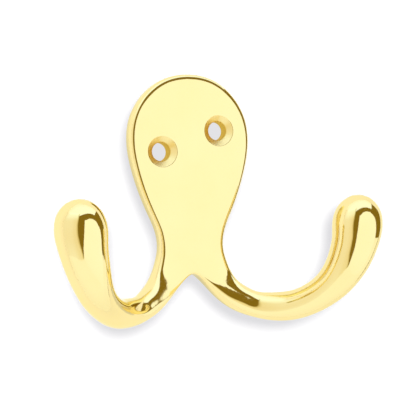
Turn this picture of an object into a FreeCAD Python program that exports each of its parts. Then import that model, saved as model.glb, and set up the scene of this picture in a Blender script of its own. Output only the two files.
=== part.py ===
import FreeCAD, Part
import math, os

# Double robe hook: one brass casting with a pear-shaped screw plate and two
# club-ended arms. Millimetres. X to the right, Z up, the front looks along -Y;
# the flat back lies on the wall plane y = 0 and the origin is on that plane
# midway between the two screw holes.

# ---- driving dimensions -----------------------------------------------------
HOLE_X, HOLE_Z = 6.81, 2.34      # each screw hole from the origin: right one up, left one down
BORE_D = 4.2                     # screw clearance bore
CSK_D = 7.0                      # countersink at the front face
CSK_DEPTH = 1.2                  # depth of the countersink
PLATE_T = 4.0          # plate thickness, wall face to front face
GRIND = 0.35           # stock taken off the back to make it flat
EDGE_IN = 2.07         # how far in from the outline the edge rounding starts
INNER_IN = 5.0         # inner loop, well inside the flat front face
NOTCH = (-29.27, -28.42, -29.30)   # front, middle, back control heights of the notch
LOW_IN = (0.298, 0.506)   # the same two insets low on the neck, as shares of its half width
BROW = (-0.55, -0.56, -0.59, -0.58, -0.41)   # how far the face stands in along the notch row (minus: out), centre to edge


# plate outline, right half, from the top of the head to the arm root (x, z)
OUTLINE = [(0.00, 15.05), (3.45, 14.70), (6.15, 13.76), (8.35, 12.40), (10.08, 10.90),
           (11.50, 9.24), (12.64, 7.45), (13.47, 5.52), (14.01, 3.45), (14.27, 1.30),
           (14.25, -0.85), (14.01, -2.96), (13.60, -5.03), (13.06, -7.11), (12.44, -9.20),
           (11.74, -11.27), (10.98, -13.26), (10.17, -15.16), (9.37, -16.94), (8.65, -18.60),
           (8.06, -20.13), (7.72, -21.50), (7.60, -23.00), (7.62, -24.40), (7.84, -25.80),
           (8.32, -27.30), (8.92, -28.60)]
ROWS = [0.0, 0.111, 0.222, 0.333, 0.437, 0.535, 0.637, 0.739, 0.834, 0.910, 0.970]

# arm centre line and radius from root to tip (x, y, z, r)
ARM = [(15.24, -7.02, -37.39, 3.00), (16.70, -8.06, -37.53, 3.13), (19.01, -9.52, -37.61, 3.27),
       (21.79, -12.07, -37.08, 3.34), (24.43, -14.71, -35.61, 3.46), (26.67, -17.13, -33.57, 3.73),
       (28.52, -19.24, -30.89, 4.15), (30.06, -20.99, -27.38, 4.68), (31.24, -21.98, -23.44, 5.20),
       (31.85, -22.29, -19.30, 5.56)]
ARM_RINGS = 10
ARM_PLANE = 38.0       # angle of the arm plane to the wall, degrees
TIP_LAT = (34.0, 62.0) # rings of the rounded arm end, degrees past its widest ring
TIP_LONG = 1.14        # length of the rounded end against its radius

# root stations: upper edge (x, z), lower edge (x, z), depth of the middle, half depth, squareness
ROOT = [((9.00, -29.12), (3.17, -32.28), -2.24, 3.03, 0.550),
        ((10.14, -30.90), (5.70, -35.24), -2.75, 3.40, 0.737),
        ((11.69, -32.47), (8.45, -37.69), -3.75, 3.42, 0.879),
        ((13.61, -33.82), (11.62, -39.36), -5.38, 3.15, 0.958)]
ROOT_TURN = (-0.172, 0.145, 0.484, 0.829)   # how far each station has turned to the arm plane
# fullness of the front of each station and of the first arm rings, from the upper edge to the lower one
FULL = [(0.982, 0.977, 0.957, 0.982, 0.992),
        (0.970, 0.966, 0.990, 1.007, 0.985),
        (0.977, 0.981, 0.984, 0.981, 0.990),
        (0.991, 0.968, 0.942, 0.944, 0.994),
        (0.976, 0.929, 0.920, 0.972, 1.021),
        (0.974, 0.953, 0.954, 0.983, 1.013),
        (0.988, 0.982, 0.985, 0.994, 1.000)]


def add(a, b): return (a[0] + b[0], a[1] + b[1], a[2] + b[2])
def sub(a, b): return (a[0] - b[0], a[1] - b[1], a[2] - b[2])
def mul(a, k): return (a[0] * k, a[1] * k, a[2] * k)
def dot(a, b): return a[0] * b[0] + a[1] * b[1] + a[2] * b[2]
def cross(a, b): return (a[1] * b[2] - a[2] * b[1], a[2] * b[0] - a[0] * b[2], a[0] * b[1] - a[1] * b[0])
def unit(a): return mul(a, 1.0 / math.sqrt(dot(a, a)))
def mix(a, b, k): return tuple(p + (q - p) * k for p, q in zip(a, b))

def through(pts, n=24):
    """Dense points of a smooth curve through pts, with arc length."""
    out = []
    for i in range(len(pts) - 1):
        p0 = pts[max(i - 1, 0)]; p1 = pts[i]; p2 = pts[i + 1]; p3 = pts[min(i + 2, len(pts) - 1)]
        for k in range(n):
            u = k / n
            out.append(tuple(0.5 * (2 * b + (c - a) * u + (2 * a - 5 * b + 4 * c - d) * u * u
                                    + (3 * b - a - 3 * c + d) * u ** 3) for a, b, c, d in zip(p0, p1, p2, p3)))
    out.append(tuple(pts[-1]))
    s = [0.0]
    for a, b in zip(out, out[1:]):
        s.append(s[-1] + math.sqrt(sum((x - y) ** 2 for x, y in zip(a[:3], b[:3]))))
    return out, s

def at(curve, x):
    p, s = curve
    x = min(max(x, 0.0), s[-1]); i = 0
    while i < len(s) - 2 and s[i + 1] < x: i += 1
    return mix(p[i], p[i + 1], (x - s[i]) / max(s[i + 1] - s[i], 1e-9))

def spline_controls(t):
    """Controls of the uniform cubic spline with knots t, mirrored about x = 0 at its start."""
    c = [tuple(p) for p in t]
    for _ in range(60):
        new = []
        for i in range(len(c)):
            prev = c[i - 1] if i else (-c[1][0], c[1][1])
            nxt = c[i + 1] if i < len(c) - 1 else tuple(2 * a - b for a, b in zip(c[i], c[i - 1]))
            new.append(tuple(b + d - (a + 4 * b + e) / 6 for a, b, d, e in zip(prev, c[i], t[i], nxt)))
        c = new
    return c

def cage():
    """Quad control cage of the whole casting: vertices, faces, and the arm vertices with their targets."""
    mir = [(-x, z) for x, z in OUTLINE[3:0:-1]]
    oc = through(mir + OUTLINE)
    start = oc[1][3 * 24]; length = oc[1][-1] - start
    loop = {}
    for name, off in (("P3", 0.0), ("P2", EDGE_IN), ("P1", INNER_IN)):
        t = []
        for f in ROWS:
            s = start + f * length
            p = at(oc, s); a = at(oc, s - 0.3); b = at(oc, s + 0.3)
            n = math.hypot(b[0] - a[0], b[1] - a[1])
            o = off
            if f > 0.5: o = min(off, (LOW_IN[0] if name == "P2" else LOW_IN[1]) * p[0])
            t.append((p[0] + (b[1] - a[1]) / n * o, p[1] - (b[0] - a[0]) / n * o))
        t[0] = (0.0, t[0][1])
        loop[name] = spline_controls(t)
    NR = len(ROWS) - 1                      # notch row
    F, B, M = -PLATE_T, GRIND, -PLATE_T / 2
    verts = []; index = {}
    def put(side, row, col, p):
        if abs(p[0]) < 1e-9: side = 0
        key = (side, row, col)
        if key not in index:
            index[key] = len(verts)
            verts.append((p[0] * (side if side else 1), p[1], p[2]))
        return index[key]
    grid = {}
    def name_of(row, col):
        """The head's inner grid ends on the inner loop: its top row is that loop."""
        if row == 2 and col in (0, 10): return (0, 2 if col == 0 else 8)
        if row == 2 and col in (1, 9): return (1, 2 if col == 1 else 8)
        return (row, col)
    for side in (1, -1):
        for r in range(NR + 1):
            p1, p2, p3 = loop["P1"][r], loop["P2"][r], loop["P3"][r]
            row = {2: (p1[0], F, p1[1]), 3: (p2[0], F, p2[1]), 4: (p3[0], F, p3[1]), 5: (p3[0], M, p3[1]),
                   6: (p3[0], B, p3[1]), 7: (p2[0], B, p2[1]), 8: (p1[0], B, p1[1])}
            if r >= 3:
                z0 = p1[1] if r < NR - 1 else (p1[1] - 0.7 if r < NR else NOTCH[0])
                z1 = p1[1] if r < NR - 1 else p1[1] * 0.5 + z0 * 0.5
                if r == NR: z1 -= 0.15
                row[0] = (0.0, F, z0); row[1] = (p1[0] * 0.5, F, z1)
                row[10] = (0.0, B, NOTCH[2] if r == NR else z0); row[9] = (p1[0] * 0.5, B, z1)
            if r == NR:
                row[11] = (0.0, M, NOTCH[1])
                for c in range(5): row[c] = (row[c][0], F + BROW[c], row[c][2])
            for c, p in row.items():
                grid[side, r, c] = put(side, r, c, p)
        for c in (0, 1, 9, 10):
            rr, cc = name_of(2, c); grid[side, 2, c] = grid[side, rr, cc]
    # --- arms
    arm = through(ARM); L = arm[1][-1]
    order = [5, 4, 3, 2, 1, 0, 11, 10, 9, 8, 7, 6]
    target = {}
    def ring(row, C, U, V, a, b, power, aim, full=None):
        for k, c in enumerate(order):
            ph = math.radians(30.0 * k); cu, sv = math.cos(ph), math.sin(ph)
            if power != 1.0:
                cu = math.copysign(abs(cu) ** power, cu); sv = math.copysign(abs(sv) ** power, sv)
            f = full[k - 1] if full and 1 <= k <= 5 else 1.0
            p = add(C, add(mul(U, a * cu * f), mul(V, b * sv * f)))
            for side in (1, -1):
                i = put(side, row, c, p); grid[side, row, c] = i
                if aim: target[i] = (p[0] * side, p[1], p[2])
    e = math.radians(ARM_PLANE); V1 = (-math.sin(e), -math.cos(e), 0.0)
    row = NR + 1
    for k, (hi, lo, y, half, power) in enumerate(ROOT):
        C = ((hi[0] + lo[0]) / 2, y, (hi[1] + lo[1]) / 2)
        U = (hi[0] - lo[0], 0.0, hi[1] - lo[1]); a = math.sqrt(dot(U, U)) / 2
        V = unit(mix((0.0, -1.0, 0.0), V1, ROOT_TURN[k])); U = unit(U); V = unit(sub(V, mul(U, dot(U, V))))
        ring(row, C, U, V, a * (1.04 if k == 0 else 1.0), half, power, k > 0, FULL[k]); row += 1
    for k in range(ARM_RINGS):
        s = L * k / (ARM_RINGS - 1)
        p = at(arm, s); q0 = at(arm, s - 0.4); q1 = at(arm, s + 0.4)
        T = unit(sub(q1[:3], q0[:3])); V = V1
        U = unit(cross(V, T)); V = cross(T, U)
        ring(row, p[:3], U, V, p[3], p[3], 1.0, True, FULL[len(ROOT) + k] if k < len(FULL) - len(ROOT) else None); row += 1
    C, R = p[:3], p[3]
    for lat in TIP_LAT:
        la = math.radians(lat)
        ring(row, add(C, mul(T, R * TIP_LONG * math.sin(la))), U, V, R * math.cos(la), R * math.cos(la), 1.0, True); row += 1
    last = row - 1
    cap = {}
    for side in (1, -1):
        for k, u in ((1, -0.5), (2, 0.0), (3, 0.5)):
            w = R * math.cos(math.radians(TIP_LAT[-1])) * 1.0
            x = u * w; h = R * TIP_LONG * math.sqrt(1 - (x / R) ** 2)
            p = add(C, add(mul(U, x), mul(T, h)))
            i = put(side, "cap", k, p); cap[side, k] = i; target[i] = (p[0] * side, p[1], p[2])
    # --- faces
    faces = []
    def quad(side, a, b, c, d):
        f = [a, b, c, d]
        if len(set(f)) == 4: faces.append(f[::-1] if side > 0 else f)
    for side in (1, -1):
        g = lambda r, c: grid[side, r, c]
        for r in range(last):
            for c in range(12):
                d = (c + 1) % 12
                if r < 2 and (c in (0, 1, 8, 9, 10, 11)): continue
                if r < NR and c in (10, 11): continue
                quad(side, g(r, c), g(r, d), g(r + 1, d), g(r + 1, c))
        g2 = lambda c: grid[side, last, c]
        m = [g2(11), cap[side, 1], cap[side, 2], cap[side, 3], g2(5)]
        fr = [g2(c) for c in (0, 1, 2, 3, 4)]; bk = [g2(c) for c in (10, 9, 8, 7, 6)]
        for k in range(4):
            quad(side, fr[k], fr[k + 1], m[k + 1], m[k])
            quad(side, m[k], m[k + 1], bk[k + 1], bk[k])
    return verts, faces, target

def ring_of(faces):
    """Faces round each vertex."""
    around = {}
    for k, f in enumerate(faces):
        for v in f: around.setdefault(v, []).append(k)
    return around

def limits(verts, faces, around):
    out = []
    for i, v in enumerate(verts):
        n = len(around[i]); e = [0.0] * 3; q = [0.0] * 3
        for k in around[i]:
            f = faces[k]; j = f.index(i)
            a, b, o = verts[f[j - 1]], verts[f[(j + 1) % 4]], verts[f[(j + 2) % 4]]
            for x in range(3):
                e[x] += (a[x] + b[x]) / 2; q[x] += o[x]
        out.append(tuple((n * n * v[x] + 4 * e[x] + q[x]) / (n * (n + 5)) for x in range(3)))
    return out

def settle(verts, faces, target, rounds=40):
    """Move the arm controls until the smooth surface passes through its rings."""
    around = ring_of(faces); verts = list(verts)
    for _ in range(rounds):
        lim = limits(verts, faces, around)
        for i, t in target.items():
            verts[i] = add(verts[i], sub(t, lim[i]))
    return verts

# ---- smooth skin of the casting ----------------------------------------------
def patches(verts, faces):
    """One cubic patch for each cage face: a 4 x 4 net of poles."""
    around = ring_of(faces)
    inner = {}
    for k, f in enumerate(faces):
        for j, i in enumerate(f):
            n = len(around[i]); v = verts[i]
            a, b, o = verts[f[j - 1]], verts[f[(j + 1) % 4]], verts[f[(j + 2) % 4]]
            inner[k, i] = tuple((n * v[x] + 2 * a[x] + 2 * b[x] + o[x]) / (n + 5) for x in range(3))
    beside = {}
    for k, f in enumerate(faces):
        for j in range(4):
            beside.setdefault(frozenset((f[j], f[(j + 1) % 4])), []).append(k)
    def corner(i):
        c = [inner[k, i] for k in around[i]]
        return tuple(sum(p[x] for p in c) / len(c) for x in range(3))
    def edge(i, j):
        a, b = sorted(beside[frozenset((i, j))])
        return mix(inner[a, i], inner[b, i], 0.5)
    out = []
    for k, (a, b, c, d) in enumerate(faces):
        out.append([[corner(a), edge(a, d), edge(d, a), corner(d)],
                    [edge(a, b), inner[k, a], inner[k, d], edge(d, c)],
                    [edge(b, a), inner[k, b], inner[k, c], edge(c, d)],
                    [corner(b), edge(b, c), edge(c, b), corner(c)]])
    return out

def vec(p): return FreeCAD.Vector(*p)

def face_of(net):
    ys = [p[1] for row in net for p in row]
    if max(ys) - min(ys) < 1e-7:                      # flat front or back of the plate
        rim = [net[0], [r[3] for r in net], net[3][::-1], [r[0] for r in net][::-1]]
        edges = []
        for poles in rim:
            c = Part.BezierCurve(); c.setPoles([vec(p) for p in poles]); edges.append(c.toShape())
        return Part.Face(Part.Wire(edges))
    s = Part.BezierSurface(); s.increase(3, 3)
    for i in range(4):
        for j in range(4):
            s.setPole(i + 1, j + 1, vec(net[i][j]))
    return s.toShape()

verts, faces, target = cage()
verts = settle(verts, faces, target)
shell = Part.Shell([face_of(n) for n in patches(verts, faces)])
shell.sewShape()
casting = Part.Solid(shell)
if casting.Volume < 0:
    casting.reverse()
casting = casting.removeSplitter()

# back ground flat on the wall plane
casting = casting.cut(Part.makeBox(200, 20, 200, FreeCAD.Vector(-100, 0, -100)))

# two countersunk screw holes on a slant across the head
for sx in (1, -1):
    lead = 0.6
    wide = CSK_D / 2 + lead * (CSK_D - BORE_D) / 2 / CSK_DEPTH
    seat = Part.makeCone(wide, BORE_D / 2, CSK_DEPTH + lead,
                         FreeCAD.Vector(sx * HOLE_X, -PLATE_T - lead, sx * HOLE_Z), FreeCAD.Vector(0, 1, 0))
    bore = Part.makeCylinder(BORE_D / 2, PLATE_T + 2,
                             FreeCAD.Vector(sx * HOLE_X, -PLATE_T, sx * HOLE_Z), FreeCAD.Vector(0, 1, 0))
    casting = casting.cut(seat).cut(bore)

if casting.ShapeType != "Solid":
    casting = casting.Solids[0]

os.makedirs("parts", exist_ok=True)
casting.exportStep("parts/hook_casting.step")
b = casting.BoundBox
print("valid", casting.isValid(), "closed", casting.Shells[0].isClosed(), "faces", len(casting.Faces),
      "volume", round(casting.Volume, 1), "box", round(b.XMin, 2), round(b.YMin, 2), round(b.ZMin, 2),
      round(b.XMax, 2), round(b.YMax, 2), round(b.ZMax, 2))
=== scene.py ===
import bpy, bmesh, math
import numpy as np
from mathutils import Matrix, Vector


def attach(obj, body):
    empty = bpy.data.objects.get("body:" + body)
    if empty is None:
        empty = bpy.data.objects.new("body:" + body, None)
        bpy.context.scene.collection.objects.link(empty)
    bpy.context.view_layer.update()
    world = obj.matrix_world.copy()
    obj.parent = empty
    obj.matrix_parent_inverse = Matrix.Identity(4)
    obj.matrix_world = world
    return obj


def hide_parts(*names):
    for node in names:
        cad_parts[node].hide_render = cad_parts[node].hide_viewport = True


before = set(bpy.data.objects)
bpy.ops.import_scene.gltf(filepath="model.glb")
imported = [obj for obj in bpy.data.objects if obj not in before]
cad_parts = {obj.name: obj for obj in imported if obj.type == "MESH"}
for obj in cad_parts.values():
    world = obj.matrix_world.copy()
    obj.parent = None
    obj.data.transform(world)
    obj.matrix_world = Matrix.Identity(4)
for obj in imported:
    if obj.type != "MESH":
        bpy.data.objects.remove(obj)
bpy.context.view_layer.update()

# ---- the casting's own dimensions, in millimetres, as in the part's source --------
HOLE_X, HOLE_Z = 6.81, 2.34
BORE_D, CSK_D, CSK_DEPTH = 4.2, 7.0, 1.2
PLATE_T = 4.0          # plate thickness, wall face to front face
GRIND = 0.35           # stock taken off the back to make it flat
EDGE_IN = 2.07         # how far in from the outline the edge rounding starts
INNER_IN = 5.0         # inner loop, well inside the flat front face
NOTCH = (-29.27, -28.42, -29.30)   # front, middle, back control heights of the notch
LOW_IN = (0.298, 0.506)   # the same two insets low on the neck, as shares of its half width
BROW = (-0.55, -0.56, -0.59, -0.58, -0.41)   # how far the face stands in along the notch row (minus: out), centre to edge

# plate outline, right half, from the top of the head to the arm root (x, z)
OUTLINE = [(0.00, 15.05), (3.45, 14.70), (6.15, 13.76), (8.35, 12.40), (10.08, 10.90),
           (11.50, 9.24), (12.64, 7.45), (13.47, 5.52), (14.01, 3.45), (14.27, 1.30),
           (14.25, -0.85), (14.01, -2.96), (13.60, -5.03), (13.06, -7.11), (12.44, -9.20),
           (11.74, -11.27), (10.98, -13.26), (10.17, -15.16), (9.37, -16.94), (8.65, -18.60),
           (8.06, -20.13), (7.72, -21.50), (7.60, -23.00), (7.62, -24.40), (7.84, -25.80),
           (8.32, -27.30), (8.92, -28.60)]
ROWS = [0.0, 0.111, 0.222, 0.333, 0.437, 0.535, 0.637, 0.739, 0.834, 0.910, 0.970]

# arm centre line and radius from root to tip (x, y, z, r)
ARM = [(15.24, -7.02, -37.39, 3.00), (16.70, -8.06, -37.53, 3.13), (19.01, -9.52, -37.61, 3.27),
       (21.79, -12.07, -37.08, 3.34), (24.43, -14.71, -35.61, 3.46), (26.67, -17.13, -33.57, 3.73),
       (28.52, -19.24, -30.89, 4.15), (30.06, -20.99, -27.38, 4.68), (31.24, -21.98, -23.44, 5.20),
       (31.85, -22.29, -19.30, 5.56)]
ARM_RINGS = 10
ARM_PLANE = 38.0       # angle of the arm plane to the wall, degrees
TIP_LAT = (34.0, 62.0) # rings of the rounded arm end, degrees past its widest ring
TIP_LONG = 1.14        # length of the rounded end against its radius

# root stations: upper edge (x, z), lower edge (x, z), depth of the middle, half depth, squareness
ROOT = [((9.00, -29.12), (3.17, -32.28), -2.24, 3.03, 0.550),
        ((10.14, -30.90), (5.70, -35.24), -2.75, 3.40, 0.737),
        ((11.69, -32.47), (8.45, -37.69), -3.75, 3.42, 0.879),
        ((13.61, -33.82), (11.62, -39.36), -5.38, 3.15, 0.958)]
ROOT_TURN = (-0.172, 0.145, 0.484, 0.829)   # how far each station has turned to the arm plane
# fullness of the front of each station and of the first arm rings, from the upper edge to the lower one
FULL = [(0.982, 0.977, 0.957, 0.982, 0.992),
        (0.970, 0.966, 0.990, 1.007, 0.985),
        (0.977, 0.981, 0.984, 0.981, 0.990),
        (0.991, 0.968, 0.942, 0.944, 0.994),
        (0.976, 0.929, 0.920, 0.972, 1.021),
        (0.974, 0.953, 0.954, 0.983, 1.013),
        (0.988, 0.982, 0.985, 0.994, 1.000)]


def add(a, b): return (a[0] + b[0], a[1] + b[1], a[2] + b[2])
def sub(a, b): return (a[0] - b[0], a[1] - b[1], a[2] - b[2])
def mul(a, k): return (a[0] * k, a[1] * k, a[2] * k)
def dot(a, b): return a[0] * b[0] + a[1] * b[1] + a[2] * b[2]
def cross(a, b): return (a[1] * b[2] - a[2] * b[1], a[2] * b[0] - a[0] * b[2], a[0] * b[1] - a[1] * b[0])
def unit(a): return mul(a, 1.0 / math.sqrt(dot(a, a)))
def mix(a, b, k): return tuple(p + (q - p) * k for p, q in zip(a, b))

def through(pts, n=24):
    """Dense points of a smooth curve through pts, with arc length."""
    out = []
    for i in range(len(pts) - 1):
        p0 = pts[max(i - 1, 0)]; p1 = pts[i]; p2 = pts[i + 1]; p3 = pts[min(i + 2, len(pts) - 1)]
        for k in range(n):
            u = k / n
            out.append(tuple(0.5 * (2 * b + (c - a) * u + (2 * a - 5 * b + 4 * c - d) * u * u
                                    + (3 * b - a - 3 * c + d) * u ** 3) for a, b, c, d in zip(p0, p1, p2, p3)))
    out.append(tuple(pts[-1]))
    s = [0.0]
    for a, b in zip(out, out[1:]):
        s.append(s[-1] + math.sqrt(sum((x - y) ** 2 for x, y in zip(a[:3], b[:3]))))
    return out, s

def at(curve, x):
    p, s = curve
    x = min(max(x, 0.0), s[-1]); i = 0
    while i < len(s) - 2 and s[i + 1] < x: i += 1
    return mix(p[i], p[i + 1], (x - s[i]) / max(s[i + 1] - s[i], 1e-9))

def spline_controls(t):
    """Controls of the uniform cubic spline with knots t, mirrored about x = 0 at its start."""
    c = [tuple(p) for p in t]
    for _ in range(60):
        new = []
        for i in range(len(c)):
            prev = c[i - 1] if i else (-c[1][0], c[1][1])
            nxt = c[i + 1] if i < len(c) - 1 else tuple(2 * a - b for a, b in zip(c[i], c[i - 1]))
            new.append(tuple(b + d - (a + 4 * b + e) / 6 for a, b, d, e in zip(prev, c[i], t[i], nxt)))
        c = new
    return c

def cage():
    """Quad control cage of the whole casting: vertices, faces, and the arm vertices with their targets."""
    mir = [(-x, z) for x, z in OUTLINE[3:0:-1]]
    oc = through(mir + OUTLINE)
    start = oc[1][3 * 24]; length = oc[1][-1] - start
    loop = {}
    for name, off in (("P3", 0.0), ("P2", EDGE_IN), ("P1", INNER_IN)):
        t = []
        for f in ROWS:
            s = start + f * length
            p = at(oc, s); a = at(oc, s - 0.3); b = at(oc, s + 0.3)
            n = math.hypot(b[0] - a[0], b[1] - a[1])
            o = off
            if f > 0.5: o = min(off, (LOW_IN[0] if name == "P2" else LOW_IN[1]) * p[0])
            t.append((p[0] + (b[1] - a[1]) / n * o, p[1] - (b[0] - a[0]) / n * o))
        t[0] = (0.0, t[0][1])
        loop[name] = spline_controls(t)
    NR = len(ROWS) - 1                      # notch row
    F, B, M = -PLATE_T, GRIND, -PLATE_T / 2
    verts = []; index = {}
    def put(side, row, col, p):
        if abs(p[0]) < 1e-9: side = 0
        key = (side, row, col)
        if key not in index:
            index[key] = len(verts)
            verts.append((p[0] * (side if side else 1), p[1], p[2]))
        return index[key]
    grid = {}
    def name_of(row, col):
        """The head's inner grid ends on the inner loop: its top row is that loop."""
        if row == 2 and col in (0, 10): return (0, 2 if col == 0 else 8)
        if row == 2 and col in (1, 9): return (1, 2 if col == 1 else 8)
        return (row, col)
    for side in (1, -1):
        for r in range(NR + 1):
            p1, p2, p3 = loop["P1"][r], loop["P2"][r], loop["P3"][r]
            row = {2: (p1[0], F, p1[1]), 3: (p2[0], F, p2[1]), 4: (p3[0], F, p3[1]), 5: (p3[0], M, p3[1]),
                   6: (p3[0], B, p3[1]), 7: (p2[0], B, p2[1]), 8: (p1[0], B, p1[1])}
            if r >= 3:
                z0 = p1[1] if r < NR - 1 else (p1[1] - 0.7 if r < NR else NOTCH[0])
                z1 = p1[1] if r < NR - 1 else p1[1] * 0.5 + z0 * 0.5
                if r == NR: z1 -= 0.15
                row[0] = (0.0, F, z0); row[1] = (p1[0] * 0.5, F, z1)
                row[10] = (0.0, B, NOTCH[2] if r == NR else z0); row[9] = (p1[0] * 0.5, B, z1)
            if r == NR:
                row[11] = (0.0, M, NOTCH[1])
                for c in range(5): row[c] = (row[c][0], F + BROW[c], row[c][2])
            for c, p in row.items():
                grid[side, r, c] = put(side, r, c, p)
        for c in (0, 1, 9, 10):
            rr, cc = name_of(2, c); grid[side, 2, c] = grid[side, rr, cc]
    # --- arms
    arm = through(ARM); L = arm[1][-1]
    order = [5, 4, 3, 2, 1, 0, 11, 10, 9, 8, 7, 6]
    target = {}
    def ring(row, C, U, V, a, b, power, aim, full=None):
        for k, c in enumerate(order):
            ph = math.radians(30.0 * k); cu, sv = math.cos(ph), math.sin(ph)
            if power != 1.0:
                cu = math.copysign(abs(cu) ** power, cu); sv = math.copysign(abs(sv) ** power, sv)
            f = full[k - 1] if full and 1 <= k <= 5 else 1.0
            p = add(C, add(mul(U, a * cu * f), mul(V, b * sv * f)))
            for side in (1, -1):
                i = put(side, row, c, p); grid[side, row, c] = i
                if aim: target[i] = (p[0] * side, p[1], p[2])
    e = math.radians(ARM_PLANE); V1 = (-math.sin(e), -math.cos(e), 0.0)
    row = NR + 1
    for k, (hi, lo, y, half, power) in enumerate(ROOT):
        C = ((hi[0] + lo[0]) / 2, y, (hi[1] + lo[1]) / 2)
        U = (hi[0] - lo[0], 0.0, hi[1] - lo[1]); a = math.sqrt(dot(U, U)) / 2
        V = unit(mix((0.0, -1.0, 0.0), V1, ROOT_TURN[k])); U = unit(U); V = unit(sub(V, mul(U, dot(U, V))))
        ring(row, C, U, V, a * (1.04 if k == 0 else 1.0), half, power, k > 0, FULL[k]); row += 1
    for k in range(ARM_RINGS):
        s = L * k / (ARM_RINGS - 1)
        p = at(arm, s); q0 = at(arm, s - 0.4); q1 = at(arm, s + 0.4)
        T = unit(sub(q1[:3], q0[:3])); V = V1
        U = unit(cross(V, T)); V = cross(T, U)
        ring(row, p[:3], U, V, p[3], p[3], 1.0, True, FULL[len(ROOT) + k] if k < len(FULL) - len(ROOT) else None); row += 1
    C, R = p[:3], p[3]
    for lat in TIP_LAT:
        la = math.radians(lat)
        ring(row, add(C, mul(T, R * TIP_LONG * math.sin(la))), U, V, R * math.cos(la), R * math.cos(la), 1.0, True); row += 1
    last = row - 1
    cap = {}
    for side in (1, -1):
        for k, u in ((1, -0.5), (2, 0.0), (3, 0.5)):
            w = R * math.cos(math.radians(TIP_LAT[-1])) * 1.0
            x = u * w; h = R * TIP_LONG * math.sqrt(1 - (x / R) ** 2)
            p = add(C, add(mul(U, x), mul(T, h)))
            i = put(side, "cap", k, p); cap[side, k] = i; target[i] = (p[0] * side, p[1], p[2])
    # --- faces
    faces = []
    def quad(side, a, b, c, d):
        f = [a, b, c, d]
        if len(set(f)) == 4: faces.append(f[::-1] if side > 0 else f)
    for side in (1, -1):
        g = lambda r, c: grid[side, r, c]
        for r in range(last):
            for c in range(12):
                d = (c + 1) % 12
                if r < 2 and (c in (0, 1, 8, 9, 10, 11)): continue
                if r < NR and c in (10, 11): continue
                quad(side, g(r, c), g(r, d), g(r + 1, d), g(r + 1, c))
        g2 = lambda c: grid[side, last, c]
        m = [g2(11), cap[side, 1], cap[side, 2], cap[side, 3], g2(5)]
        fr = [g2(c) for c in (0, 1, 2, 3, 4)]; bk = [g2(c) for c in (10, 9, 8, 7, 6)]
        for k in range(4):
            quad(side, fr[k], fr[k + 1], m[k + 1], m[k])
            quad(side, m[k], m[k + 1], bk[k + 1], bk[k])
    return verts, faces, target

def ring_of(faces):
    """Faces round each vertex."""
    around = {}
    for k, f in enumerate(faces):
        for v in f: around.setdefault(v, []).append(k)
    return around

def limits(verts, faces, around):
    out = []
    for i, v in enumerate(verts):
        n = len(around[i]); e = [0.0] * 3; q = [0.0] * 3
        for k in around[i]:
            f = faces[k]; j = f.index(i)
            a, b, o = verts[f[j - 1]], verts[f[(j + 1) % 4]], verts[f[(j + 2) % 4]]
            for x in range(3):
                e[x] += (a[x] + b[x]) / 2; q[x] += o[x]
        out.append(tuple((n * n * v[x] + 4 * e[x] + q[x]) / (n * (n + 5)) for x in range(3)))
    return out

def settle(verts, faces, target, rounds=40):
    """Move the arm controls until the smooth surface passes through its rings."""
    around = ring_of(faces); verts = list(verts)
    for _ in range(rounds):
        lim = limits(verts, faces, around)
        for i, t in target.items():
            verts[i] = add(verts[i], sub(t, lim[i]))
    return verts

# ---- smooth skin: the cage refined three times, then moved to its limit -----------
def refine(V, F):
    n = len(V); fc = V[F].mean(1)
    a = F.ravel(); b = np.roll(F, -1, 1).ravel()
    key = np.minimum(a, b) * n + np.maximum(a, b)
    uk, first, inv = np.unique(key, return_index=True, return_inverse=True)
    ea, eb = uk // n, uk % n
    fsum = np.zeros((len(uk), 3)); np.add.at(fsum, inv, np.repeat(fc, 4, 0))
    ep = (V[ea] + V[eb] + fsum) / 4
    em = (V[ea] + V[eb]) / 2
    val = np.bincount(a, minlength=n)[:, None].astype(float)
    sf = np.zeros((n, 3)); np.add.at(sf, a, np.repeat(fc, 4, 0))
    se = np.zeros((n, 3)); np.add.at(se, ea, em); np.add.at(se, eb, em)
    vp = (sf / val + 2 * se / val + (val - 3) * V) / val
    e = (n + inv).reshape(-1, 4); c = (n + len(uk) + np.arange(len(F)))
    quads = [np.stack([F[:, j], e[:, j], c, e[:, j - 1]], 1) for j in range(4)]
    return np.vstack([vp, ep, fc]), np.vstack(quads)

def to_limit(V, F):
    n = len(V); val = np.bincount(F.ravel(), minlength=n)[:, None].astype(float)
    e = np.zeros((n, 3)); q = np.zeros((n, 3))
    for j in range(4):
        np.add.at(e, F[:, j], (V[F[:, j - 1]] + V[F[:, (j + 1) % 4]]) / 2)
        np.add.at(q, F[:, j], V[F[:, (j + 2) % 4]])
    return (val * val * V + 4 * e + q) / (val * (val + 5))

def normals(V, F):
    d = np.cross(V[F[:, 2]] - V[F[:, 0]], V[F[:, 3]] - V[F[:, 1]])
    N = np.zeros_like(V)
    for j in range(4): np.add.at(N, F[:, j], d)
    return N / np.linalg.norm(N, axis=1)[:, None]

verts, faces, target = cage()
V = np.array(settle(verts, faces, target)); F = np.array(faces)
for _ in range(3): V, F = refine(V, F)
V = to_limit(V, F); N = normals(V, F)

# back ground flat on the wall plane
flat_back = V[:, 1] > -1e-6
V[flat_back, 1] = 0.0; N[flat_back] = (0.0, 1.0, 0.0)

bm = bmesh.new()
nl = bm.verts.layers.float_vector.new("true_normal")
bv = []
for p, n in zip(V, N):
    v = bm.verts.new(p); v[nl] = n; bv.append(v)
front = V[:, 1] < -PLATE_T + 1e-6
front &= V[:, 1] > -PLATE_T - 1e-6
ctr = V[F].mean(1)
near = np.hypot(ctr[:, 0], ctr[:, 2]) < 11.0
cut_f = front[F].all(1) & near & (ctr[:, 1] < -3.0)
cut_b = flat_back[F].all(1) & near
for f in F[~(cut_f | cut_b)]:
    bm.faces.new([bv[i] for i in f])

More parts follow.
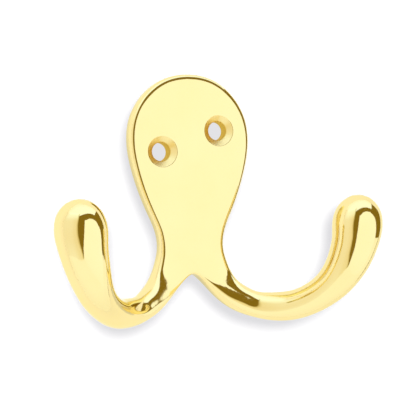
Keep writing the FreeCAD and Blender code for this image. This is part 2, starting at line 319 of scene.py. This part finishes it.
def rim_edges(cut):
    """Boundary of a removed patch of faces, as cage edges."""
    count = {}
    for f in F[cut]:
        for j in range(4):
            k = (min(f[j], f[(j + 1) % 4]), max(f[j], f[(j + 1) % 4])); count[k] = count.get(k, 0) + 1
    return [k for k, c in count.items() if c == 1]

# the two countersunk holes: a turned profile from front to back (radius, y, normal)
def hole_profile():
    p = []
    half = math.atan2((CSK_D - BORE_D) / 2, CSK_DEPTH)          # slope of the seat from the axis
    rim = 0.32
    turn = math.pi / 2 - half                                    # from the flat face to the seat
    cx = CSK_D / 2 + rim * math.tan(turn / 2); cy = -PLATE_T + rim
    for k in range(7):                                           # soft rim
        a = turn * k / 6
        p.append((cx - rim * math.sin(a), cy - rim * math.cos(a), (-math.sin(a), -math.cos(a))))
    r0, y0 = p[-1][0], p[-1][1]
    ns = p[-1][2]
    soft = 0.22                                                  # soft edge where the seat meets the bore
    yb = -PLATE_T + CSK_DEPTH
    bx = BORE_D / 2 + soft; t2 = soft * math.tan(half / 2); by = yb + t2
    for k in range(1, 4):
        r = r0 + (BORE_D / 2 + t2 * math.sin(half) - r0) * k / 4; y = y0 + (yb - t2 * math.cos(half) - y0) * k / 4
        p.append((r, y, ns))
    for k in range(6):
        a = turn + half * k / 5
        p.append((bx - soft * math.sin(a), by - soft * math.cos(a), (-math.sin(a), -math.cos(a))))
    for k in range(1, 5):
        p.append((BORE_D / 2, by + (-0.15 - by) * k / 4, (-1.0, 0.0)))
    for k in range(1, 4):                                        # back edge broken by 0.15
        a = math.pi / 2 * k / 3
        p.append((BORE_D / 2 + 0.15 * (1 - math.cos(a)), -0.15 + 0.15 * math.sin(a), (-math.cos(a), math.sin(a))))
    return p

SEG = 72
edges_f = [bm.edges.get((bv[a], bv[b])) for a, b in rim_edges(cut_f)]
edges_b = [bm.edges.get((bv[a], bv[b])) for a, b in rim_edges(cut_b)]
for sx in (1, -1):
    prof = hole_profile(); rings = []
    for r, y, (nr, ny) in prof:
        ring_v = []
        for k in range(SEG):
            a = 2 * math.pi * k / SEG
            v = bm.verts.new((sx * HOLE_X + r * math.cos(a), y, sx * HOLE_Z + r * math.sin(a)))
            v[nl] = (nr * math.cos(a), ny, nr * math.sin(a)); ring_v.append(v)
        rings.append(ring_v)
    for i in range(len(rings) - 1):
        for k in range(SEG):
            m = (k + 1) % SEG
            f = bm.faces.new([rings[i][k], rings[i][m], rings[i + 1][m], rings[i + 1][k]])
            if 5 <= i < len(rings) - 4: f.material_index = 1
    for k in range(SEG):
        edges_f.append(bm.edges.get((rings[0][k], rings[0][(k + 1) % SEG])))
        edges_b.append(bm.edges.get((rings[-1][k], rings[-1][(k + 1) % SEG])))
for e, n in ((edges_f, (0, -1, 0)), (edges_b, (0, 1, 0))):
    bmesh.ops.triangle_fill(bm, edges=e, use_beauty=True, use_dissolve=False, normal=n)
loose = [v for v in bm.verts if not v.link_faces]
bmesh.ops.delete(bm, geom=loose, context="VERTS")
bmesh.ops.recalc_face_normals(bm, faces=bm.faces)
if bm.calc_volume(signed=True) < 0: bmesh.ops.reverse_faces(bm, faces=bm.faces)
for f in bm.faces: f.smooth = True
bmesh.ops.scale(bm, vec=(0.001,) * 3, verts=bm.verts)
me = bpy.data.meshes.new("hook_skin"); bm.to_mesh(me)
open_edges = sum(1 for e in bm.edges if len(e.link_faces) != 2)
tris = sum(len(f.verts) - 2 for f in bm.faces)
bm.free()
att = me.attributes["true_normal"]; nn = np.zeros(len(me.vertices) * 3, dtype=np.float32)
att.data.foreach_get("vector", nn); me.normals_split_custom_set_from_vertices(nn.reshape(-1, 3).tolist())
me.attributes.remove(me.attributes["true_normal"])
print("skin: open edges", open_edges, "triangles", tris)
hook = bpy.data.objects.new("hook_skin", me); bpy.context.collection.objects.link(hook)

# ---- lacquered brass ---------------------------------------------------------------
def brass():
    m = bpy.data.materials.new("lacquered_brass"); m.use_nodes = True
    nt = m.node_tree; nd = nt.nodes; lk = nt.links
    b = nd["Principled BSDF"]
    b.inputs["Metallic"].default_value = 1.0
    b.inputs["Specular Tint"].default_value = (0.94, 0.90, 0.56, 1)
    b.inputs["Coat Weight"].default_value = 0.6
    b.inputs["Coat Roughness"].default_value = 0.03
    b.inputs["Coat IOR"].default_value = 1.5
    co = nd.new("ShaderNodeTexCoord")
    # colour: faint depth in the polish
    n1 = nd.new("ShaderNodeTexNoise"); n1.inputs["Scale"].default_value = 90.0; n1.inputs["Detail"].default_value = 3.0
    lk.new(co.outputs["Object"], n1.inputs["Vector"])
    r1 = nd.new("ShaderNodeValToRGB"); r1.color_ramp.elements[0].position = 0.3; r1.color_ramp.elements[1].position = 0.7
    r1.color_ramp.elements[0].color = (0.942, 0.771, 0.325, 1); r1.color_ramp.elements[1].color = (0.958, 0.790, 0.350, 1)
    lk.new(n1.outputs["Fac"], r1.inputs["Fac"]); lk.new(r1.outputs["Color"], b.inputs["Base Color"])
    # roughness: buffing marks and slight haze
    n2 = nd.new("ShaderNodeTexNoise"); n2.inputs["Scale"].default_value = 420.0; n2.inputs["Detail"].default_value = 4.0
    mp = nd.new("ShaderNodeMapping"); mp.inputs["Scale"].default_value = (0.25, 1.0, 2.2); mp.inputs["Rotation"].default_value = (0.3, 0.2, 0.5)
    lk.new(co.outputs["Object"], mp.inputs["Vector"]); lk.new(mp.outputs["Vector"], n2.inputs["Vector"])
    r2 = nd.new("ShaderNodeMapRange"); r2.inputs["From Min"].default_value = 0.3; r2.inputs["From Max"].default_value = 0.7
    r2.inputs["To Min"].default_value = 0.045; r2.inputs["To Max"].default_value = 0.105
    lk.new(n2.outputs["Fac"], r2.inputs["Value"])
    lk.new(r2.outputs["Result"], b.inputs["Roughness"])
    # hand-polished surface: long soft waves with finer unevenness over them
    n3 = nd.new("ShaderNodeTexNoise"); n3.inputs["Scale"].default_value = 210.0; n3.inputs["Detail"].default_value = 1.0
    n4 = nd.new("ShaderNodeTexNoise"); n4.inputs["Scale"].default_value = 760.0; n4.inputs["Detail"].default_value = 1.5
    lk.new(co.outputs["Object"], n3.inputs["Vector"]); lk.new(co.outputs["Object"], n4.inputs["Vector"])
    bp = nd.new("ShaderNodeBump"); bp.inputs["Strength"].default_value = 0.10; bp.inputs["Distance"].default_value = 0.0002
    bq = nd.new("ShaderNodeBump"); bq.inputs["Strength"].default_value = 0.40; bq.inputs["Distance"].default_value = 0.00002
    lk.new(n3.outputs["Fac"], bp.inputs["Height"]); lk.new(n4.outputs["Fac"], bq.inputs["Height"])
    lk.new(bp.outputs["Normal"], bq.inputs["Normal"]); lk.new(bq.outputs["Normal"], b.inputs["Normal"])
    return m

def bored_brass():
    """The seats are polished with faint turning marks; the bores inside them are raw and rougher, and their deeper
    colour is painted shade for the inside of the hole.
    """
    m = bpy.data.materials.new("bored_brass"); m.use_nodes = True
    nt = m.node_tree; nd = nt.nodes; lk = nt.links
    b = nd["Principled BSDF"]
    b.inputs["Metallic"].default_value = 1.0
    b.inputs["Specular Tint"].default_value = (0.97, 0.84, 0.50, 1)
    co = nd.new("ShaderNodeTexCoord")
    sp = nd.new("ShaderNodeSeparateXYZ"); cb = nd.new("ShaderNodeCombineXYZ"); lk.new(co.outputs["Object"], sp.inputs[0])
    lk.new(sp.outputs["X"], cb.inputs["X"]); lk.new(sp.outputs["Z"], cb.inputs["Z"])
    ds = []
    for q in (1, -1):
        d = nd.new("ShaderNodeVectorMath"); d.operation = "DISTANCE"; d.inputs[1].default_value = (q * HOLE_X * 0.001, 0, q * HOLE_Z * 0.001)
        lk.new(cb.outputs[0], d.inputs[0]); ds.append(d)
    mn = nd.new("ShaderNodeMath"); mn.operation = "MINIMUM"; lk.new(ds[0].outputs["Value"], mn.inputs[0]); lk.new(ds[1].outputs["Value"], mn.inputs[1])
    def by_radius(lo, hi):
        r = nd.new("ShaderNodeMapRange"); r.inputs["From Min"].default_value = BORE_D / 2 * 0.001 + 0.00003
        r.inputs["From Max"].default_value = BORE_D / 2 * 0.001 + 0.0003
        r.inputs["To Min"].default_value = lo; r.inputs["To Max"].default_value = hi
        lk.new(mn.outputs[0], r.inputs["Value"]); return r.outputs["Result"]
    n1 = nd.new("ShaderNodeTexNoise"); n1.inputs["Scale"].default_value = 600.0; n1.inputs["Detail"].default_value = 3.0
    lk.new(co.outputs["Object"], n1.inputs["Vector"])
    va = nd.new("ShaderNodeMath"); va.operation = "MULTIPLY_ADD"; va.inputs[1].default_value = 0.16; lk.new(n1.outputs["Fac"], va.inputs[0])
    lk.new(by_radius(-0.08, 0.92), va.inputs[2])
    # painted shade: the bore's base colour is set deeper than the seat's
    r1 = nd.new("ShaderNodeValToRGB")
    r1.color_ramp.elements[0].color = (0.84, 0.58, 0.10, 1); r1.color_ramp.elements[1].color = (0.955, 0.765, 0.325, 1)
    lk.new(va.outputs[0], r1.inputs["Fac"]); lk.new(r1.outputs["Color"], b.inputs["Base Color"])
    lk.new(by_radius(0.42, 0.30), b.inputs["Roughness"])
    fq = nd.new("ShaderNodeMath"); fq.operation = "MULTIPLY"; fq.inputs[1].default_value = 2 * math.pi / 0.00016; lk.new(mn.outputs[0], fq.inputs[0])
    sn = nd.new("ShaderNodeMath"); sn.operation = "SINE"; lk.new(fq.outputs[0], sn.inputs[0])
    bp = nd.new("ShaderNodeBump"); bp.inputs["Strength"].default_value = 0.15; bp.inputs["Distance"].default_value = 0.000003
    lk.new(sn.outputs[0], bp.inputs["Height"]); lk.new(bp.outputs["Normal"], b.inputs["Normal"])
    return m

hook.data.materials.append(brass()); hook.data.materials.append(bored_brass())
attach(hook, "root"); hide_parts("hook_casting")

# ---- stage: white wall, pale floor, soft tent ---------------------------------------
MM = 0.001
def plane(name, co, mat, quads=((0, 1, 2, 3),)):
    me = bpy.data.meshes.new(name); me.from_pydata([Vector(c) * MM for c in co], [], [list(q) for q in quads]); me.update()
    o = bpy.data.objects.new(name, me); bpy.context.collection.objects.link(o); me.materials.append(mat)
    return o

def paper(name, col):
    m = bpy.data.materials.new(name); m.use_nodes = True
    b = m.node_tree.nodes["Principled BSDF"]
    b.inputs["Base Color"].default_value = (*col, 1); b.inputs["Roughness"].default_value = 0.9
    b.inputs["Specular IOR Level"].default_value = 0.0
    return m

def one_sided(m):
    """Seen and lit from its front only, so that views from behind show the hook's back."""
    nt = m.node_tree; nd = nt.nodes; out = nd["Material Output"]; src = out.inputs["Surface"].links[0].from_socket
    g = nd.new("ShaderNodeNewGeometry"); t = nd.new("ShaderNodeBsdfTransparent"); x = nd.new("ShaderNodeMixShader")
    nt.links.new(g.outputs["Backfacing"], x.inputs["Fac"]); nt.links.new(src, x.inputs[1]); nt.links.new(t.outputs[0], x.inputs[2])
    nt.links.new(x.outputs[0], out.inputs["Surface"])
    return m

def glow(name, col, k):
    m = bpy.data.materials.new(name); m.use_nodes = True
    nt = m.node_tree; nt.nodes.clear(); e = nt.nodes.new("ShaderNodeEmission"); o = nt.nodes.new("ShaderNodeOutputMaterial")
    e.inputs["Color"].default_value = (*col, 1); e.inputs["Strength"].default_value = k
    nt.links.new(e.outputs[0], o.inputs["Surface"]); return m

def luminous(name, col, own, shade):
    """White sheet lit from behind as well: its own glow plus what falls on it; darker where the plate covers it, where
    its glow is scaled by shade as painted light for what shows through the holes; painted shade dims the glow at the
    far left.
    """
    m = paper(name, col); nt = m.node_tree; nd = nt.nodes; lk = nt.links; b = nd["Principled BSDF"]
    co = nd.new("ShaderNodeTexCoord"); sp = nd.new("ShaderNodeSeparateXYZ"); cb = nd.new("ShaderNodeCombineXYZ")
    lk.new(co.outputs["Object"], sp.inputs[0]); lk.new(sp.outputs["X"], cb.inputs["X"]); lk.new(sp.outputs["Z"], cb.inputs["Z"])
    ln = nd.new("ShaderNodeVectorMath"); ln.operation = "LENGTH"; lk.new(cb.outputs[0], ln.inputs[0])
    mr = nd.new("ShaderNodeMapRange"); mr.inputs["From Min"].default_value = 0.0105; mr.inputs["From Max"].default_value = 0.012
    mr.inputs["To Min"].default_value = own * shade; mr.inputs["To Max"].default_value = own
    lk.new(ln.outputs["Value"], mr.inputs["Value"])
    far = nd.new("ShaderNodeMapRange"); far.interpolation_type = "SMOOTHSTEP"          # painted shade: the glow dimmer at the far left
    far.inputs["From Min"].default_value = -0.14; far.inputs["From Max"].default_value = -0.06; far.inputs["To Min"].default_value = 0.88; far.inputs["To Max"].default_value = 1.0
    mu = nd.new("ShaderNodeMath"); mu.operation = "MULTIPLY"
    lk.new(sp.outputs["X"], far.inputs["Value"]); lk.new(mr.outputs["Result"], mu.inputs[0]); lk.new(far.outputs["Result"], mu.inputs[1])
    lk.new(mu.outputs[0], b.inputs["Emission Strength"])
    b.inputs["Emission Color"].default_value = (0.985, 1.005, 1.085, 1)
    return m

wall = plane("wall", [(-190, 0.4, -150), (92, 0.4, -150), (227, 0.4, 150), (-190, 0.4, 150)], one_sided(luminous("wall_white", (0.25, 0.25, 0.25), 0.692, 1.04)))
floor = plane("floor", [(-500, 0.4, -260), (-500, -900, -260), (500, -900, -260), (500, 0.4, -260)], paper("floor_pale", (0.25, 0.25, 0.25)))
fb = floor.data.materials[0].node_tree.nodes["Principled BSDF"]
fb.inputs["Emission Color"].default_value = (0.96, 0.975, 1.0, 1); fb.inputs["Emission Strength"].default_value = 0.78
floor.visible_glossy = False; floor.visible_diffuse = False

# camera: fitted to the photograph
CAM = Vector((-121.496, -313.807, -18.559)); RIGHT = Vector((0.92709832, -0.37414226, -0.02250077))
UP = Vector((0.01688457, -0.01828222, 0.99969029)); LOOK = Vector((0.37443774, 0.9271911, 0.01063219))
F_PX = 1484.27
cam = bpy.data.cameras.new("camera"); co = bpy.data.objects.new("camera", cam); bpy.context.collection.objects.link(co)
R = Matrix((RIGHT, UP, -LOOK)).transposed().to_4x4(); R.translation = CAM * MM; co.matrix_world = R
cam.sensor_width = 36.0; cam.lens = F_PX / 415.0 * 36.0; cam.clip_start = 0.01; cam.clip_end = 20
bpy.context.scene.camera = co

# white boards round the hook; the camera looks through the slit between the two front ones
def shaded(name, stops, z0, z1, edge=None, near=(1.04, 1.07, 1.12), rim=False):
    """Board lit unevenly: colours from z0 up to z1, falling off to one edge if given, and as bright as the wall beside
    it; painted shade darkens its inner edge if rim is set.
    """
    m = bpy.data.materials.new(name); m.use_nodes = True
    nt = m.node_tree; nt.nodes.clear(); nd = nt.nodes; lk = nt.links
    e = nd.new("ShaderNodeEmission"); o = nd.new("ShaderNodeOutputMaterial"); lk.new(e.outputs[0], o.inputs["Surface"])
    co = nd.new("ShaderNodeTexCoord"); sp = nd.new("ShaderNodeSeparateXYZ"); lk.new(co.outputs["Object"], sp.inputs[0])
    mr = nd.new("ShaderNodeMapRange"); mr.inputs["From Min"].default_value = z0 * MM; mr.inputs["From Max"].default_value = z1 * MM
    lk.new(sp.outputs["Z"], mr.inputs["Value"])
    rp = nd.new("ShaderNodeValToRGB"); rp.color_ramp.interpolation = "EASE"
    while len(rp.color_ramp.elements) < len(stops): rp.color_ramp.elements.new(0.5)
    for el, (pos, col) in zip(rp.color_ramp.elements, stops):
        el.position = pos; el.color = (*[c / 1.8 for c in col], 1)
    lk.new(mr.outputs["Result"], rp.inputs["Fac"]); lk.new(rp.outputs["Color"], e.inputs["Color"])
    e.inputs["Strength"].default_value = 1.8
    if edge:
        (x, y), (dx, dy), reach, col = edge
        vd = nd.new("ShaderNodeVectorMath"); vd.operation = "SUBTRACT"; vd.inputs[1].default_value = (x * MM, y * MM, 0)
        vp = nd.new("ShaderNodeVectorMath"); vp.operation = "DOT_PRODUCT"; vp.inputs[1].default_value = (dx, dy, 0)
        lk.new(co.outputs["Object"], vd.inputs[0]); lk.new(vd.outputs[0], vp.inputs[0])
        er = nd.new("ShaderNodeMapRange"); er.interpolation_type = "SMOOTHSTEP"; er.inputs["From Max"].default_value = reach * MM
        lk.new(vp.outputs["Value"], er.inputs["Value"])
        ec = nd.new("ShaderNodeValToRGB"); ec.color_ramp.elements[0].color = (*col, 1); ec.color_ramp.elements[1].color = (1, 1, 1, 1)
        lk.new(er.outputs["Result"], ec.inputs["Fac"])
        mx = nd.new("ShaderNodeMix"); mx.data_type = "RGBA"; mx.blend_type = "MULTIPLY"; mx.inputs["Factor"].default_value = 1.0
        lk.new(rp.outputs["Color"], mx.inputs["A"]); lk.new(ec.outputs["Color"], mx.inputs["B"]); lk.new(mx.outputs["Result"], e.inputs["Color"])
        zr = nd.new("ShaderNodeMapRange"); zr.interpolation_type = "SMOOTHSTEP"          # less of it higher up
        zr.inputs["From Min"].default_value = 40 * MM; zr.inputs["From Max"].default_value = 190 * MM; zr.inputs["To Min"].default_value = 1.0; zr.inputs["To Max"].default_value = 0.0
        lk.new(sp.outputs["Z"], zr.inputs["Value"]); lk.new(zr.outputs["Result"], mx.inputs["Factor"])
    last = e.inputs["Color"].links[0].from_socket
    wr = nd.new("ShaderNodeMapRange"); wr.interpolation_type = "SMOOTHSTEP"
    wr.inputs["From Min"].default_value = -75 * MM; wr.inputs["From Max"].default_value = 15 * MM
    lk.new(sp.outputs["Y"], wr.inputs["Value"])
    wm = nd.new("ShaderNodeMix"); wm.data_type = "RGBA"; wm.inputs["B"].default_value = (*[c / 1.8 for c in near], 1)
    lk.new(wr.outputs["Result"], wm.inputs["Factor"]); lk.new(last, wm.inputs["A"]); lk.new(wm.outputs["Result"], e.inputs["Color"])
    if rim:                                   # painted shade: the board's glow falls to dark brown along its flat inner edge
        ra = nd.new("ShaderNodeAttribute"); ra.attribute_name = "rim"
        rr = nd.new("ShaderNodeValToRGB"); rr.color_ramp.elements.new(0.45)
        for el, (pos, col) in zip(rr.color_ramp.elements, ((0.0, (0.38, 0.31, 0.11)), (0.35, (0.76, 0.71, 0.52)), (1.0, (1, 1, 1)))):
            el.position = pos; el.color = (*col, 1)
        lk.new(ra.outputs["Fac"], rr.inputs["Fac"])
        rm = nd.new("ShaderNodeMix"); rm.data_type = "RGBA"; rm.blend_type = "MULTIPLY"; rm.inputs["Factor"].default_value = 1.0
        lk.new(wm.outputs["Result"], rm.inputs["A"]); lk.new(rr.outputs["Color"], rm.inputs["B"]); lk.new(rm.outputs["Result"], e.inputs["Color"])
    return m

def board(name, co, mat, quads=((0, 1, 2, 3),)):
    o = plane(name, co, mat, quads)
    o.visible_camera = False; o.visible_shadow = False; o.visible_diffuse = False
    return o

# right-hand board: upright, cut to a slanting inner edge and a stepped top (along it, height)
A = (-30.1, -182.9); AD = (math.cos(math.radians(32.6)), math.sin(math.radians(32.6)))
CUT = [(-72.6, -200), (22, 60), (38, 55.5), (76, 61), (114, 54.5), (148, 40), (183, 0), (223, -60), (223, -200)]
board("board_right", [(A[0] + AD[0] * s, A[1] + AD[1] * s, z) for s, z in CUT],
      shaded("board_right", [(0.0, (1.11, 1.16, 1.26)), (0.5, (1.13, 1.20, 1.33)), (1.0, (1.14, 1.225, 1.36))], -200, 60), [tuple(range(len(CUT)))])
board("board_step", [(157.8, -62.7, -200), (208, 10, -200), (208, 10, -63.6), (157.8, -62.7, -63.6)], glow("board_step", (1.08, 1.13, 1.2), 1.0))
# left-hand board: bent round the side, its inner edge closing in on the right-hand one low down (height, how far)
B = (-107.4, -175.1)
EDGE = [(260, 23.9), (110, 12.0), (60, 7.0), (20, -2.0), (-25, -7.0), (-60, -5.0), (-95, 4.0), (-125, 18.0), (-155, 31.0), (-175, 33.0), (-200, 30.0)]
# RIM: width of the inner strip over which painted shade darkens the board's glow
RIM = 26
left = [(B[0] + 0.8 * (o - d), B[1] - 0.6 * (o - d), z) for d in (0, RIM) for z, o in EDGE]
bend = [(x, y, z) for x, y in ((-187.4, -115.1), (-250, -40), (-255, 12)) for z in (-200, 260)]
n = len(EDGE)
ob = board("board_left", left + bend, shaded("board_left", [(0.0, (1.02, 1.06, 1.10)), (0.28, (0.98, 0.965, 0.92)), (0.52, (0.99, 1.0, 0.99)), (0.76, (1.07, 1.21, 1.40)), (1.0, (1.17, 1.42, 1.78))], -200, 260,
           edge=(B, (-0.8, 0.6), 110, (0.94, 0.89, 0.74)), near=(0.98, 0.97, 0.96), rim=True),
           [(i, i + 1, n + i + 1, n + i) for i in range(n - 1)] + [tuple(range(n, 2 * n)) + (2 * n, 2 * n + 1), (2 * n, 2 * n + 2, 2 * n + 3, 2 * n + 1), (2 * n + 2, 2 * n + 4, 2 * n + 5, 2 * n + 3)])
# rim runs from 0 on the inner edge, where the painted shade is deepest, to 1 across the strip, where there is none
at = ob.data.attributes.new("rim", "FLOAT", "POINT")
for i in range(len(ob.data.vertices)): at.data[i].value = 0.0 if i < n else 1.0
board("board_top", [(-260, -284.7, 250), (330, -188.3, 250), (330, 20, 250), (-260, 20, 250)],
      shaded("board_top", [(0.0, (1.11, 1.28, 1.60)), (1.0, (1.11, 1.28, 1.60))], 0, 250, near=(1.10, 1.20, 1.34)))
LOW = [(-260, -141), (-150, -143), (-80, -196), (-82, -216), (-5, -167), (35, -141), (260, -141), (260, 20), (-260, 20)]
board("board_low", [(x, y, -170) for x, y in LOW],
      shaded("board_low", [(0.0, (1.08, 1.14, 1.21)), (1.0, (1.08, 1.14, 1.21))], -170, 0), [tuple(range(len(LOW)))])
# board behind the wall plane, for the ground back of the casting
board("board_back", [(-300, 260, -300), (300, 260, -300), (300, 260, 300), (-300, 260, 300)], glow("board_back", (1.0, 1.09, 1.2), 1.15))

def area(name, loc, to, size, power, col=(1, 1, 1), glossy=False):
    l = bpy.data.lights.new(name, "AREA"); l.shape = "DISK"; l.size = size * MM; l.energy = power; l.color = col
    o = bpy.data.objects.new(name, l); bpy.context.collection.objects.link(o)
    o.location = Vector(loc) * MM; o.rotation_euler = (Vector(to) - Vector(loc)).to_track_quat("-Z", "Y").to_euler()
    o.visible_glossy = glossy; o.visible_camera = False
    return o
area("key", (-184, -570, 77), (0, 0, -14), 150, 5.42, (1.0, 1.0, 0.96))

# the photo's shadow hugs the outline all round, so a flat sheet cut to that outline throws it
SHEET_Y = -11.6; SIDE = Vector((0.3744, 0.9272, 0.0106))
k = (SHEET_Y - V[:, 1]) / SIDE.y
sheet = plane("shadow_sheet", [(p[0] + SIDE.x * t, SHEET_Y, p[2] + SIDE.z * t) for p, t in zip(V, k)], paper("sheet", (0.5, 0.5, 0.5)), F.tolist())
sheet.visible_camera = False; sheet.visible_glossy = False; sheet.visible_diffuse = False; sheet.visible_transmission = False
hook.visible_shadow = False; hook.visible_diffuse = False

# pale surroundings for the eye only
bpy.ops.mesh.primitive_uv_sphere_add(segments=48, ring_count=24, radius=3.0)
room = bpy.context.object; room.name = "room"; room.data.materials.append(glow("room_pale", (0.93, 0.935, 0.94), 1.0))
room.visible_glossy = False; room.visible_diffuse = False; room.visible_shadow = False; room.visible_transmission = False

w = bpy.data.worlds.new("world"); bpy.context.scene.world = w; w.use_nodes = True
bg = w.node_tree.nodes["Background"]; bg.inputs["Color"].default_value = (0.24, 0.165, 0.02, 1); bg.inputs["Strength"].default_value = 1.0

sc = bpy.context.scene
sc.view_settings.view_transform = "Standard"; sc.view_settings.look = "None"; sc.view_settings.exposure = 0.0; sc.view_settings.gamma = 1.0
